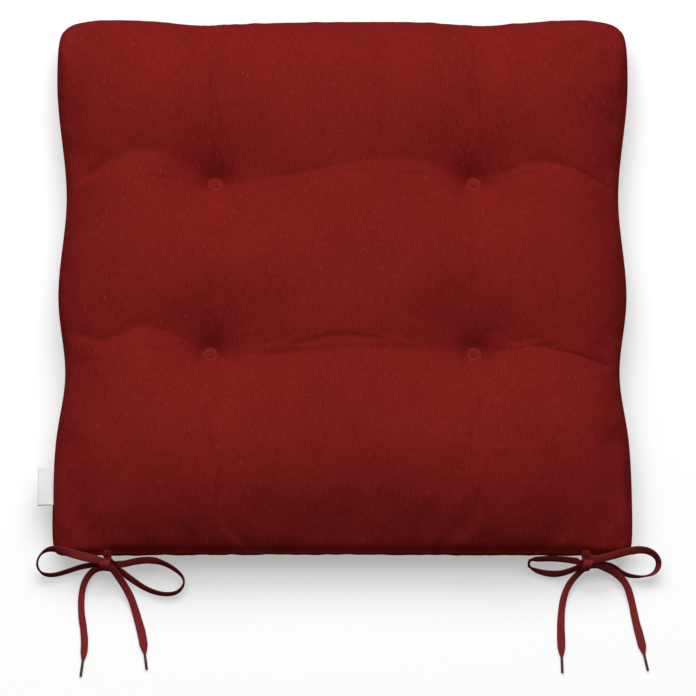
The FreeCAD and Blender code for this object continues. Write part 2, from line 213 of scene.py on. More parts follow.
# The two columns of valleys: (y, x of the fold) and (y, depth)
LEFT_COLUMN = [(-0.200, -0.096), (-0.057, -0.0915), (0.071, -0.0885), (0.200, -0.092)]
RIGHT_COLUMN = [(-0.200, 0.094), (-0.057, 0.0915), (0.071, 0.092), (0.200, 0.095)]
LEFT_DEPTH = [(-0.200, 0.0), (-0.120, 0.03), (-0.057, 0.06), (0.0, 0.07), (0.071, 0.07),
              (0.130, 0.05), (0.200, 0.03)]
RIGHT_DEPTH = [(-0.200, 0.0), (-0.120, 0.05), (-0.057, 0.11), (0.0, 0.14), (0.071, 0.14),
               (0.130, 0.08), (0.200, 0.04)]
# How each valley fades to its sides: (width, power)
ROW_FADE, LEFT_FADE, RIGHT_FADE = (0.027, 1.25), (0.017, 1.4), (0.015, 1.3)

FOAM_EDGE = 0.007                         # inset by which the top has risen over the foam's edge
# How the top rises from each seam: (share of it over the foam's edge, reach of the rest)
SIDE_RISE, NEAR_RISE, FAR_RISE = (0.12, 0.078), (0.06, 0.090), (0.0, 0.078)
UNDER_BULGE = (0.046, 2.6)                # the underside's bulge: (reach, power)
TOP_PULL, BASE_PULL = 0.020, 0.010        # reach of the tufts' pull, above and below
DOME_HEIGHT, DOME_WIDTH = 0.0009, 0.0026  # the cloth that stands up inside a ring of thread


def plan(u, v):
    """Place in plan of the cloth's own coordinates u and v, which run from -1 to 1: the square
    drawn in to a rounded one by the ratio of the larger of |u| and |v| to their norm of the
    power of the corner's squareness, then drawn in again by the filling's pull, which fades
    with the cube towards the middle."""
    larger = np.maximum(abs(u), abs(v))
    square = np.where(v > 0, FAR_SQUARE, NEAR_SQUARE)
    norm = (abs(u) ** square + abs(v) ** square) ** (1 / square)
    ratio = larger / np.maximum(norm, 1e-9)
    x, y = HALF * u * ratio, HALF * v * ratio
    side, far = knots(y, SIDE_PULL), knots(x, FAR_PULL)
    return x - np.sign(u) * (side - SIDE_EASE) * abs(u) ** 3, y - far * np.clip(v, 0, 1) ** 3


def bulge(inset, reach, power):
    """One minus the power of what is left of the reach: 0 at the seam, 1 from reach inwards."""
    return 1 - (1 - np.clip(inset / reach, 0, 1)) ** power


def rise(inset, box, reach):
    """How far the top has risen at an inset from the seam: the share box of it in a bulge over
    the edge of the foam, with the power 2, and the rest in a slow one over the reach, with the
    power 2.4."""
    return box * bulge(inset, FOAM_EDGE, 2.0) + (1 - box) * bulge(inset, reach, 2.4)


def valley(along, across, line, depth, fade):
    """What a valley leaves of the height: one less its depth, which fades with the exponential
    of minus the power of the distance from its line. Line and depth are looked up along it."""
    width, power = fade
    away = abs(across - knots(along, line)) / width
    return 1 - knots(along, depth) * np.exp(-away ** power)


def from_tufts(x, y):
    """Distance in plan to each of the four tufts."""
    return np.hypot(x[..., None] - TUFTS[:, 0], y[..., None] - TUFTS[:, 1])


def tuft_pull(x, y, reach):
    """How strongly the tufts hold a point: one on the small flat under a ring of thread, then,
    past a rounded corner, fading with the exponential of the distance, and a fifth of it much
    faster, as a funnel close to the ring. The four never add up past one."""
    flat, corner = 0.0046, 0.0018
    funnel, share = 0.004, 0.2
    apart = np.sqrt(np.maximum(from_tufts(x, y) - flat, 0) ** 2 + corner**2) - corner
    held = (1 - share) * np.exp(-apart / reach) + share * np.exp(-apart / funnel)
    return 1 - np.prod(1 - held, axis=-1)


def seam_height(u, v):
    """The seam's height, which hangs lower at the corners with the eighth power of |u v|."""
    droop = np.where(v > 0, FAR_DROOP, NEAR_DROOP)
    return SEAM - droop * abs(u * v) ** 8


def top_surface(u, v):
    """x, y and height of the pillow's top: the seam plus the crown's rise times the rises from
    both pairs of sides and what the valleys leave, drawn to TUFT_TOP by the tufts' pull, where
    a small bell of cloth stands up inside the ring of thread."""
    x, y = plan(u, v)
    far_or_near = np.where(v < 0, rise(HALF * (1 + v), *NEAR_RISE), rise(HALF * (1 - v), *FAR_RISE))
    edge = rise(HALF * (1 - abs(u)), *SIDE_RISE) * far_or_near
    rows = (valley(x, y, FAR_ROW, ROW_DEPTH, ROW_FADE)
            * valley(x, y, NEAR_ROW, ROW_DEPTH, ROW_FADE))
    columns = (valley(y, x, LEFT_COLUMN, LEFT_DEPTH, LEFT_FADE)
               * valley(y, x, RIGHT_COLUMN, RIGHT_DEPTH, RIGHT_FADE))
    puffed = seam_height(u, v) + (CROWN - SEAM) * edge * rows * columns
    pulled = puffed + (TUFT_TOP - puffed) * tuft_pull(x, y, TOP_PULL)
    apart = from_tufts(x, y).min(-1)
    return x, y, pulled + DOME_HEIGHT * np.exp(-(apart / DOME_WIDTH) ** 2)


def base_surface(u, v):
    """x, y and height of the underside: down from the seam to the floor in a tighter bulge,
    flat there, and drawn up to TUFT_BASE at the tufts."""
    x, y = plan(u, v)
    edge = bulge(HALF * (1 - abs(u)), *UNDER_BULGE) * bulge(HALF * (1 - abs(v)), *UNDER_BULGE)
    resting = seam_height(u, v) * (1 - edge)
    return x, y, resting + (TUFT_BASE - resting) * tuft_pull(x, y, BASE_PULL)


def denser_steps(count, folds):
    """Count places from -1 to 1, closer together at the seams and at the fold lines: the
    inverse of the running sum of a density, which is one plus an exponential at each end and
    a bell at each fold."""
    at_seam, seam_width = 2.6, 0.025
    at_fold, fold_width = 2.8, 0.055
    at = np.linspace(-1, 1, 4001)
    density = 1 + at_seam * np.exp(-(1 - abs(at)) / seam_width)
    for line in folds:
        density += at_fold * np.exp(-((at - line / HALF) / fold_width) ** 2)
    run = np.cumsum(density)
    return np.interp(np.linspace(run[0], run[-1], count), run, at)


def cloth_grid(count):
    """u and v of a square grid of cloth, denser along the seams and through the tufts."""
    across = denser_steps(count, (TUFTS[[0, 2], 0].mean(), TUFTS[[1, 3], 0].mean()))
    along = denser_steps(count, (TUFTS[:2, 1].mean(), TUFTS[2:, 1].mean()))
    return np.meshgrid(across, along, indexing="ij")


def surface_points(surface, u, v):
    """The surface's x, y and z at u and v, as one array of points."""
    return np.stack(surface(u, v), axis=-1)


def ring_order(count):
    """Numbers of the grid's outermost points, in order round the square."""
    index = np.arange(count * count).reshape(count, count)
    return np.concatenate([index[:-1, 0], index[-1, :-1], index[:0:-1, -1], index[0, :0:-1]])


def closed_pair(top, base):
    """Points and faces of the closed form between two grids of the same size, whose outermost
    points are shared: the base's are the top's."""
    count = top.shape[0]
    number = count * count + np.arange(count * count)
    ring = ring_order(count)
    number[ring] = ring
    faces = np.concatenate([grid_faces(count, count), number[grid_faces(count, count)[:, ::-1]]])
    points = np.concatenate([top.reshape(-1, 3), base.reshape(-1, 3)])
    return points, facing_out(points, faces.tolist())


# ---- the cover

GRID = 101                                # points along one side of a panel
SWELL = 0.005                             # furthest that the pressure moves a point
CLOTH = 0.0008                            # thickness of the cover cloth
TURN_IN = 0.004                           # step between the rows of cloth turned in at the seam
# The cloth's roll into the seam: (width, height, more height at the near edge)
TOP_LIP, BASE_LIP = (0.0045, 0.0030, 0.0018), (0.0034, 0.0075, 0.0022)


def puff_up(top, base):
    """The two panels after a cloth simulation: the closed pillow is cut a little large, held at
    the seam and the tufts and blown up by pressure, with no gravity. A point then moves by
    at most SWELL, and nothing goes below the floor."""
    count = top.shape[0]
    points, faces = closed_pair(top, base)
    pillow = mesh_piece("pillow_form", points, faces)
    held_flat, held_fade = 0.006, 0.004
    apart = from_tufts(points[:, 0], points[:, 1]).min(1)
    hold = np.exp(-(np.maximum(apart - held_flat, 0) / held_fade) ** 2)
    hold[ring_order(count)] = 1.0
    group = pillow.vertex_groups.new(name="held")
    for corner in np.nonzero(hold > 0.02)[0].tolist():
        group.add([corner], float(hold[corner]), "REPLACE")
    cloth = pillow.modifiers.new("cloth", "CLOTH")
    settings = cloth.settings
    settings.quality = 6
    settings.mass = 0.3
    settings.tension_stiffness = settings.compression_stiffness = 18
    settings.shear_stiffness = 8
    settings.bending_stiffness = 0.35
    settings.use_pressure = True
    settings.uniform_pressure_force = 4.0
    settings.shrink_min = -0.012          # below zero, the cloth is cut larger than the form
    settings.vertex_group_mass = "held"
    settings.effector_weights.gravity = 0
    cloth.collision_settings.use_collision = False
    for number in range(1, 21):
        bpy.context.scene.frame_set(number)
    shaped = pillow.evaluated_get(bpy.context.evaluated_depsgraph_get())
    after = np.zeros(3 * len(points))
    shaped.data.vertices.foreach_get("co", after)
    moved = after.reshape(-1, 3) - points
    bpy.context.scene.frame_set(1)
    bpy.data.objects.remove(pillow)
    far = np.linalg.norm(moved, axis=1, keepdims=True)
    moved *= SWELL * np.tanh(far / SWELL) / np.maximum(far, 1e-9)
    after = points + moved
    after[:, 2] = np.maximum(after[:, 2], 0)
    new_top = after[:count * count].reshape(top.shape)
    new_base = after[count * count:].reshape(top.shape)
    ring = ring_order(count)
    new_base.reshape(-1, 3)[ring] = new_top.reshape(-1, 3)[ring]
    return new_top, new_base


def lip(points, u, v, side):
    """The cloth's roll into the seam: within the lip's width of the seam it leaves the groove
    as a quarter ellipse, upwards for side 1 and downwards for side -1, which fades with the
    exponential of the inset and is fuller towards the near edge."""
    gap, reach = 0.0004, 0.017
    width, height, more = TOP_LIP if side > 0 else BASE_LIP
    full = height + more * np.clip(-v, 0, 1) ** 6
    inset = HALF * (1 - np.maximum(abs(u), abs(v)))
    roll = np.sqrt(1 - (1 - np.clip(inset / width, 0, 1)) ** 2)
    points[..., 2] += side * (gap + full * roll * np.exp(-inset / reach))
    points[..., 2] = np.maximum(points[..., 2], 0)
    return points


def cover_panel(name, grid, u, v, side):
    """One panel of the cover: its grid of points, and the strip of cloth that turns in at the
    seam, three rows that step inwards at about the seam's height, with a wall behind."""
    points = lip(grid.copy(), u, v, side)
    flat = points.reshape(-1, 3)
    ring = ring_order(GRID)
    edge = flat[ring]
    inwards = -unit(edge * [1, 1, 0])
    steps = (1, 2, 3)
    turned = [edge + inwards * step * TURN_IN + [0, 0, side * step * 0.0002] for step in steps]
    strip = np.concatenate([ring[None], len(flat) + np.arange(3 * len(ring)).reshape(3, -1)])
    beside = np.roll(strip, -1, axis=1)
    quads = np.stack([strip[:-1], strip[1:], beside[1:], beside[:-1]], -1).reshape(-1, 4)
    uv = np.concatenate([HALF * np.stack([u, v], -1).reshape(-1, 2)]
                        + [edge[:, :2] * (1 + 0.02 * step) for step in steps])
    faces = np.concatenate([grid_faces(GRID, GRID), quads])
    if side < 0:
        faces = faces[:, ::-1]
    piece = mesh_piece(name, np.concatenate([flat] + turned), faces[:, ::-1].tolist(), uv)
    smoother = piece.modifiers.new("finer cloth", "SUBSURF")
    smoother.levels = smoother.render_levels = 1
    wall = piece.modifiers.new("cloth thickness", "SOLIDIFY")
    wall.thickness = CLOTH
    wall.offset = -1
    return piece


def filling_layer(name, top, base, low_share, high_share, rows):
    """One layer of the filling: between two shares of the way from the base to the top of the
    puffed cover, every second grid point inside the outer rows, thinned to nothing at its own
    edge by the square root of one minus the 14th power of the distance out."""
    top, base = top[rows:-rows:2, rows:-rows:2], base[rows:-rows:2, rows:-rows:2]
    count = top.shape[0]
    place = np.linspace(-1, 1, count)
    ring = np.maximum(*np.abs(np.meshgrid(place, place, indexing="ij")))[..., None]
    middle, half = (high_share + low_share) / 2, (high_share - low_share) / 2
    taper = half * np.sqrt(1 - ring**14)
    high = base + (top - base) * (middle + taper)
    low = base + (top - base) * (middle - taper)
    points, faces = closed_pair(high, low)
    used, faces = np.unique(faces, return_inverse=True)
    return mesh_piece(name, points[used], faces.reshape(-1, 4).tolist(), points[used, :2])


# ---- laces

LACE_WIDTH = 0.0060
LACE_THICKNESS = 0.0013
LACE_END = 0.0008                         # radius of a lace where its tip grips it
ROUTE_STEP = 0.0003                       # distance between the points along a lace

# The laces' routes: x from the middle of the tie, y from the near seam and z from the floor, in
# millimetres. They are the CAD's, with points moved to fill out the loops.
ROUTES = {
    "tie_left_outer": [
        (-1.5, -2.9, 20.7), (-3.3, -3.4, 16), (-8.4, -3.8, 10.4), (-18, -3.9, 6.8),
        (-27, -6.4, 4.8), (-38, -9.8, 4.2), (-46.2, -8.8, 5.6), (-49.6, -3.6, 10), (-46.8, 2, 15.6),
        (-39, 5, 19.6), (-28.5, 1.4, 21.8), (-19, -2.2, 23), (-10.4, -3.8, 22), (-2.2, -5.6, 19.6),
        (3.4, -9.2, 16.4), (9.6, -15.4, 9), (16, -25, 3.4), (20.4, -39, 1.7), (24.4, -54, 1.6),
        (25.8, -66, 1.6)],
    "tie_left_inner": [
        (1.5, -3.4, 21), (3, -5.6, 17.6), (9.4, -6, 15.4), (20, -3.4, 16.4), (31.5, -2.6, 16.6),
        (42.5, -4.8, 11.2), (51.4, -10.4, 7.2), (53.2, -16.4, 5.4), (48, -22.8, 4.2),
        (38, -23.6, 3.8), (27, -20, 4.2), (17, -14, 6.6), (8, -8, 10.6), (0, -6.2, 11.8),
        (-8.6, -6.2, 9.4), (-15.4, -12, 4.6), (-18.4, -22, 2), (-18.4, -36, 1.6),
        (-16.2, -49.6, 1.6), (-15.6, -62, 1.6), (-16.8, -71, 1.6)],
    "tie_right_inner": [
        (-1.5, -3.4, 21), (-2.6, -4.8, 17.8), (-9.4, -3.2, 16.8), (-19.6, -1.8, 16.6),
        (-29.4, -1.6, 15.8), (-38.2, -1.6, 13.8), (-40, -3.8, 8.6), (-33.4, -7.2, 5.4),
        (-20.5, -9.8, 6.2), (-9.6, -8.6, 11.4), (-1, -6, 18.2), (5.4, -5.6, 17.6),
        (12.4, -6.6, 13.4), (21.4, -9.4, 7.6), (28.4, -15.6, 4), (32, -28, 1.8),
        (34.2, -41.5, 1.6), (37.6, -55, 1.6), (40, -66.5, 1.6)],
    "tie_right_outer": [
        (1.5, -3.4, 21), (4.9, -4.4, 19.4), (16, -2.6, 22.6), (28.4, 1.8, 20.8), (37.6, 4.4, 18.4),
        (45.4, 3.8, 15.2), (50.4, 0, 11.2), (50.6, -4.8, 8), (46.8, -9.6, 5.8), (37, -11, 4.4),
        (27, -9.4, 5), (19, -4.2, 8.4), (9.6, -4, 11), (1, -5, 11.8), (-5, -9.4, 8.6),
        (-12, -16.4, 3.8), (-15.9, -27, 1.9), (-17.3, -41.5, 1.6), (-17.2, -55, 1.6),
        (-16.8, -68.5, 1.6)],
}
# How far the flat of each lace is turned about its own line: (share of its length, degrees),
# 0 and 180 lying flat and 90 standing on edge
TURNS = {
    "tie_left_outer": [(0, 125), (0.08, 118), (0.16, 104), (0.24, 96), (0.3, 90), (0.36, 84),
        (0.42, 60), (0.48, 34), (0.56, 24), (0.64, 18), (0.74, 6), (0.84, 0), (1, 0)],
    "tie_left_inner": [(0, 40), (0.08, 50), (0.16, 52), (0.23, 70), (0.3, 88), (0.38, 96),
        (0.46, 108), (0.54, 125), (0.62, 146), (0.7, 168), (0.78, 180), (1, 180)],
    "tie_right_inner": [(0, 124), (0.06, 120), (0.12, 113), (0.2, 104), (0.27, 86), (0.33, 66),
        (0.4, 58), (0.5, 42), (0.6, 24), (0.7, 8), (0.8, 0), (1, 0)],
    "tie_right_outer": [(0, 30), (0.1, 38), (0.2, 42), (0.3, 48), (0.36, 62), (0.42, 88),
        (0.5, 112), (0.6, 140), (0.7, 166), (0.8, 180), (1, 180)],
}
# How wide each lace lies, as a share of LACE_WIDTH: (share of its length, share)
SPREADS = {
    "tie_left_outer": [(0, 0.92), (0.3, 0.98), (0.55, 1), (0.66, 0.88), (0.78, 0.86), (0.9, 0.98),
        (1, 1)],
    "tie_left_inner": [(0, 0.9), (0.3, 0.95), (0.55, 0.95), (0.66, 0.78), (0.8, 0.76),
        (0.92, 0.84), (1, 0.84)],
    "tie_right_inner": [(0, 0.92), (0.3, 0.98), (0.52, 1), (0.66, 0.86), (0.78, 0.82),
        (0.92, 0.97), (1, 0.95)],
    "tie_right_outer": [(0, 0.92), (0.3, 0.98), (0.55, 0.95), (0.68, 0.74), (0.8, 0.8),
        (0.92, 0.92), (1, 0.92)],
}
BODY_OF = {name: "bow_left" if "left" in name else "bow_right" for name in ROUTES}


def tie_middle(body):
    """x of the middle of a bow's root, from the CAD."""
    low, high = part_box("tie_root_" + body.removeprefix("bow_"))
    return (low.x + high.x) / 2


def smooth_route(name):
    """Points ROUTE_STEP apart along the smooth NURBS line whose control points are the
    route's, and the distance along it to each."""
    middle = tie_middle(BODY_OF[name])
    curve = bpy.data.curves.new(name + "_route", "CURVE")
    curve.dimensions = "3D"
    spline = curve.splines.new("NURBS")
    spline.points.add(len(ROUTES[name]) - 1)
    for point, (x, y, z) in zip(spline.points, ROUTES[name]):
        point.co = (middle + x / 1000, NEAR_SEAM + y / 1000, z / 1000, 1)
    spline.order_u = 3
    spline.use_endpoint_u = True
    spline.resolution_u = 24
    line = bpy.data.objects.new(name + "_route", curve)
    bpy.context.scene.collection.objects.link(line)
    bpy.context.view_layer.update()
    drawn = bpy.data.meshes.new_from_object(line)
    points = np.zeros(3 * len(drawn.vertices))
    drawn.vertices.foreach_get("co", points)
    points = points.reshape(-1, 3)
    bpy.data.meshes.remove(drawn)
    bpy.data.objects.remove(line)
    bpy.data.curves.remove(curve)
    run = run_along(points)
    at = np.linspace(0, run[-1], int(run[-1] / ROUTE_STEP))
    return np.stack([np.interp(at, run, points[:, k]) for k in range(3)], 1), at


def lace_outline(at, spread):
    """Cross-sections of the flat braid at the distances at: a superellipse of the lace's width
    and LACE_THICKNESS, swelled by the two crossing sets of strands, whose waves run along and
    across at opposite slants, and pinched to a round over the last 7 mm before the tip."""
    pitch, lean, pinched = 0.0017, 0.9, 0.007
    wider, thicker = 0.00012, 0.00013
    across, above = squared_circle(20, 0.75, 0.75).T
    pinch = np.clip((at[-1] - at[:, None]) / pinched, 0, 1) ** 0.7
    slant = np.where(above >= 0, 1, -1) * across * LACE_WIDTH / 2 / pitch
    wave = np.sin(2 * math.pi * (at[:, None] / pitch + slant * lean))
    counter = np.sin(2 * math.pi * (at[:, None] / pitch - slant * lean))
    uneven = 1 + 0.03 * np.sin(at / 0.0031) * np.sin(at / 0.0073)
    wide = LACE_WIDTH / 2 * (knots(at / at[-1], spread) * uneven)[:, None] + wider * wave
    thick = LACE_THICKNESS / 2 + thicker * np.maximum(wave, counter)
    half_wide = wide * pinch + LACE_END * (1 - pinch)
    half_thick = thick * pinch + LACE_END * (1 - pinch)
    return np.stack([half_wide * across, half_thick * above], -1)


def lace_frame(path, at, turns):
    """The lace's cross directions: level and square to the path, then turned by the angles of
    its table, but never so far up on edge that it would pass through the floor."""
    edge_height = 0.0008
    level, over = cross_directions(path)
    angle = np.radians(knots(at / at[-1], turns))
    steepest = np.arcsin(np.clip((path[:, 2] - edge_height) / (LACE_WIDTH / 2), 0, 1))
    angle = np.where(angle < math.pi / 2, np.minimum(angle, steepest),
                     np.maximum(angle, math.pi - steepest))[:, None]
    return (level * np.cos(angle) + over * np.sin(angle),
            over * np.cos(angle) - level * np.sin(angle))


def make_lace(name):
    """A flat braided lace along its route, with its own path and the distances along it. Near
    the floor it sinks by half a millimetre, as it turns flat."""
    low, fade, sink, lowest = 0.003, 0.001, 0.0005, 0.0009
    path, at = smooth_route(name)
    lying = np.clip((low - path[:, 2]) / fade, 0, 1)
    path[:, 2] = np.maximum(path[:, 2] - sink * lying, lowest)
    across, above = lace_frame(path, at, TURNS[name])
    shape = sweep(path, across, above, lace_outline(at, SPREADS[name]), LACE_WIDTH)
    return mesh_piece(name.replace("tie", "lace"), *shape), path, at


# ---- cloth, thread, foam and plastic

def add(tree, kind, inputs, **settings):
    """A shader node with its settings, and its inputs by name or number: each a plain value, or
    the node whose first output feeds it."""
    made = tree.nodes.new("ShaderNode" + kind)
    for name, value in settings.items():
        setattr(made, name, value)
    for name, value in inputs.items():
        if isinstance(value, bpy.types.Node):
            value = value.outputs[0]
        if isinstance(value, bpy.types.NodeSocket):
            tree.links.new(value, made.inputs[name])
        else:
            made.inputs[name].default_value = value
    return made


def maths(tree, operation, first, second=0.0):
    """One step of arithmetic between two values."""
    return add(tree, "Math", {0: first, 1: second}, operation=operation)


def tint(tree, share, below, above):
    """The colour below, covered by the colour above where the share is 1."""
    return add(tree, "MixRGB", {"Fac": share, "Color1": below, "Color2": above})


def covered(tree, colour, *layers):
    """A colour with layers over it: for each a mask, how far it covers, and its own colour."""
    for mask, share, above in layers:
        colour = tint(tree, maths(tree, "MULTIPLY", mask, share), colour, above)
    return colour


def laid_out(tree, where, sizes, turn=0.0):
    """Coordinates measured in steps of the given sizes, in metres, after a turn about Z."""
    turned = add(tree, "Mapping", {"Vector": where, "Rotation": (0, 0, turn)})
    return add(tree, "Mapping", {"Vector": turned, "Scale": [1 / size for size in sizes]})


def grain(tree, where, sizes, low, high, detail=2.0, turn=0.0):
    """Noise whose grains have the given sizes, spread so that low becomes 0 and high 1."""
    place = laid_out(tree, where, sizes, turn)
    noise = add(tree, "TexNoise", {"Vector": place, "Scale": 1.0, "Detail": detail})
    return add(tree, "MapRange", {"Value": noise, "From Min": low, "From Max": high})


def plain_weave(tree, where, pitch, turn=0.0):
    """Height of a plain weave, from 0 to 1: threads one pitch wide, as round as the sine across
    them and arched along, take turns on top where the two sines' product is above 0."""
    apart = add(tree, "SeparateXYZ", {0: laid_out(tree, where, (pitch, pitch, pitch), turn)})
    turns = [maths(tree, "MULTIPLY", way, math.pi) for way in apart.outputs[:2]]
    waves = [maths(tree, "SINE", way) for way in turns]
    backs = [maths(tree, "ABSOLUTE", wave) for wave in waves]
    warp_on_top = maths(tree, "GREATER_THAN", maths(tree, "MULTIPLY", *waves), 0.0)
    weft_on_top = maths(tree, "SUBTRACT", 1.0, warp_on_top)
    heights = []
    for on_top, back, along in ((warp_on_top, *backs), (weft_on_top, *backs[::-1])):
        arch = maths(tree, "ADD", maths(tree, "MULTIPLY", along, 0.5), 0.5)
        heights.append(maths(tree, "MULTIPLY", on_top, maths(tree, "MULTIPLY", back, arch)))
    return maths(tree, "ADD", *heights)


def fabric(name, specular, roughness, sheen=0.0):
    """A material whose fixed values are set on the shader's own sockets."""
    material = bpy.data.materials.new(name)
    material.use_nodes = True
    shader = material.node_tree.nodes["Principled BSDF"]
    shader.inputs["Specular IOR Level"].default_value = specular
    shader.inputs["Roughness"].default_value = roughness
    shader.inputs["Sheen Weight"].default_value = sheen
    shader.inputs["Sheen Roughness"].default_value = 0.5
    return material, material.node_tree, shader


def dress(tree, shader, colour, height, depth, rough=None):
    """Feed the shader its colour, fine relief of the given depth in metres and, where it
    varies, the roughness."""
    tree.links.new(colour.outputs[0], shader.inputs["Base Color"])
    if rough:
        tree.links.new(rough.outputs[0], shader.inputs["Roughness"])
    bump = add(tree, "Bump", {"Height": height, "Distance": depth, "Strength": 1.0})
    tree.links.new(bump.outputs[0], shader.inputs["Normal"])


def cover_cloth():
    """Plain dark red cotton: a weave of half-millimetre threads with painted shade in the gaps
    between them, thick slubs that run along Y for about 6 mm and fainter ones across them, stray
    paler and darker fibres, and slow changes in the dye."""
    material, tree, shader = fabric("cover cloth", 0.04, 0.85)
    cloth = add(tree, "UVMap", {}, uv_map="cloth")
    weave = plain_weave(tree, cloth, 0.00048)
    slubs = grain(tree, cloth, (0.0013, 0.0060, 1), 0.54, 0.76)
    weft_slubs = grain(tree, cloth, (0.0034, 0.0008, 1), 0.62, 0.80)
    pale = grain(tree, cloth, (0.0017, 0.0032, 1), 0.70, 0.80, 1.0)
    dark = grain(tree, cloth, (0.0016, 0.0034, 2), 0.68, 0.78, 1.0, turn=0.2)
    dye = grain(tree, cloth, (0.030, 0.045, 1), 0.35, 0.65, 3.0)
    # The first layer darkens the cloth where the weave is low: painted shade between the threads.
    colour = covered(tree, tint(tree, dye, (0.196, 0.0104, 0.0092, 1), (0.212, 0.0122, 0.0106, 1)),
                     (maths(tree, "SUBTRACT", 1.0, weave), 0.30, (0.105, 0.0050, 0.0045, 1)),
                     (slubs, 0.60, (0.265, 0.024, 0.021, 1)),
                     (weft_slubs, 0.25, (0.245, 0.020, 0.018, 1)),
                     (dark, 0.60, (0.085, 0.0040, 0.0035, 1)),
                     (pale, 0.35, (0.370, 0.075, 0.070, 1)))
    rough = maths(tree, "SUBTRACT", 0.90, maths(tree, "MULTIPLY", weave, 0.12))
    thick = maths(tree, "ADD", weave, maths(tree, "MULTIPLY", slubs, 0.9))
    dress(tree, shader, colour, thick, 0.00010, rough)
    return material


def sewing_thread():
    """Two-ply polyester thread: plies that cross it at a slant every 0.8 mm, with painted shade
    between them and a painted highlight on their backs, where a lower roughness also gives a soft
    gloss."""
    material, tree, shader = fabric("sewing thread", 0.07, 0.50)
    length = add(tree, "UVMap", {}, uv_map="cloth")
    apart = add(tree, "SeparateXYZ", {0: laid_out(tree, length, (0.0016, 0.0008, 1))})
    slant = maths(tree, "ADD", apart.outputs[0], apart.outputs[1])
    ply = maths(tree, "ABSOLUTE", maths(tree, "SINE", maths(tree, "MULTIPLY", slant, math.pi)))
    fibres = grain(tree, length, (0.00012, 0.0012, 1), 0.35, 0.70)
    # The ply's colour runs from painted shade between the plies to a painted highlight on their
    # backs.
    colour = covered(tree, tint(tree, ply, (0.110, 0.0052, 0.0048, 1), (0.320, 0.0240, 0.0220, 1)),
                     (fibres, 0.35, (0.310, 0.028, 0.026, 1)))
    rough = maths(tree, "SUBTRACT", 0.62, maths(tree, "MULTIPLY", ply, 0.18))
    dress(tree, shader, colour, ply, 0.00008, rough)
    return material


def lace_braid():
    """Flat braid: a plain weave on the slant with strands 0.85 mm wide, each of fine yarn, with
    painted shade in the gaps between the strands, changes in the dye and a little fluff."""
    material, tree, shader = fabric("lace braid", 0.05, 0.80)
    length = add(tree, "UVMap", {}, uv_map="cloth")
    strands = plain_weave(tree, length, 0.00085, turn=math.pi / 4)
    yarn = grain(tree, length, (0.00010, 0.0009, 1), 0.35, 0.68, turn=math.pi / 4)
    fluff = grain(tree, length, (0.0005, 0.0009, 1), 0.58, 0.75)
    dye = grain(tree, length, (0.004, 0.018, 1), 0.35, 0.65)
    # Painted shade in the gaps between the strands.
    painted_gap_shade = maths(tree, "POWER", maths(tree, "SUBTRACT", 1.0, strands), 1.6)
    colour = covered(tree, tint(tree, dye, (0.205, 0.0195, 0.0190, 1), (0.240, 0.0250, 0.0240, 1)),
                     (painted_gap_shade, 0.75, (0.095, 0.0060, 0.0056, 1)),
                     (yarn, 0.22, (0.330, 0.042, 0.041, 1)),
                     (fluff, 0.30, (0.370, 0.070, 0.068, 1)))
    thick = maths(tree, "ADD", strands, maths(tree, "MULTIPLY", yarn, 0.25))
    dress(tree, shader, colour, thick, 0.00018)
    return material


def moulded_tip():
    """The dark red plastic tip: satin, with lengthways drag lines and fine scuffs."""
    material, tree, shader = fabric("moulded tip", 0.30, 0.38)
    length = add(tree, "UVMap", {}, uv_map="cloth")
    drag = grain(tree, length, (0.00012, 0.0040, 1), 0.35, 0.65)
    scuffs = grain(tree, length, (0.0006, 0.0009, 1), 0.56, 0.70, 4.0)
    colour = covered(tree, tint(tree, drag, (0.048, 0.0040, 0.0040, 1), (0.068, 0.0062, 0.0060, 1)),
                     (scuffs, 0.45, (0.130, 0.030, 0.029, 1)))
    rough = maths(tree, "ADD", 0.34, maths(tree, "MULTIPLY", scuffs, 0.28))
    dress(tree, shader, colour, maths(tree, "ADD", drag, scuffs), 0.00002, rough)
    return material


def label_ribbon():
    """The blank white ribbon: a fine plain weave with painted shade between its threads, satin
    threads along it that are painted lighter as a painted sheen, and a trace of dust.
    """
    material, tree, shader = fabric("label ribbon", 0.20, 0.55, 0.05)
    ribbon_way = add(tree, "UVMap", {}, uv_map="cloth")
    weave = plain_weave(tree, ribbon_way, 0.00026)
    satin_lines_and_sheen = grain(tree, ribbon_way, (0.0030, 0.00022, 1), 0.35, 0.65)
    dust = grain(tree, ribbon_way, (0.004, 0.004, 1), 0.52, 0.75, 3.0)
    # The weave's low places are darker, painted shade between the threads; the satin lines are
    # lighter, a painted sheen.
    colour = covered(tree, tint(tree, weave, (0.70, 0.70, 0.71, 1), (0.88, 0.88, 0.89, 1)),
                     (satin_lines_and_sheen, 0.35, (0.93, 0.93, 0.94, 1)),
                     (dust, 0.25, (0.66, 0.63, 0.61, 1)))
    thick = maths(tree, "ADD", weave, maths(tree, "MULTIPLY", satin_lines_and_sheen, 0.5))
    dress(tree, shader, colour, thick, 0.00005)
    return material


def foam():
    """Cut polyurethane foam: open cells about 1.1 and 0.6 mm across, with painted shade inside
    them, and slow yellowing."""
    material, tree, shader = fabric("foam", 0.10, 0.95)
    where = add(tree, "TexCoord", {}).outputs["Object"]
    cells, small = (
        add(tree, "TexVoronoi", {"Vector": laid_out(tree, where, (size, size, size)), "Scale": 1.0})
        for size in (0.0011, 0.0006))
    open_cells = maths(tree, "ADD", cells, maths(tree, "MULTIPLY", small, 0.5))
    age = grain(tree, where, (0.05, 0.05, 0.03), 0.35, 0.65, 3.0)
    # Painted shade inside the open cells.
    painted_cell_shade = add(tree, "MapRange", {"Value": open_cells, "From Min": 0.75, "From Max": 0.25})
    colour = covered(tree, tint(tree, age, (0.80, 0.76, 0.62, 1), (0.74, 0.67, 0.47, 1)),
                     (painted_cell_shade, 0.55, (0.46, 0.40, 0.27, 1)))
    dress(tree, shader, colour, open_cells, 0.0004)
    return material


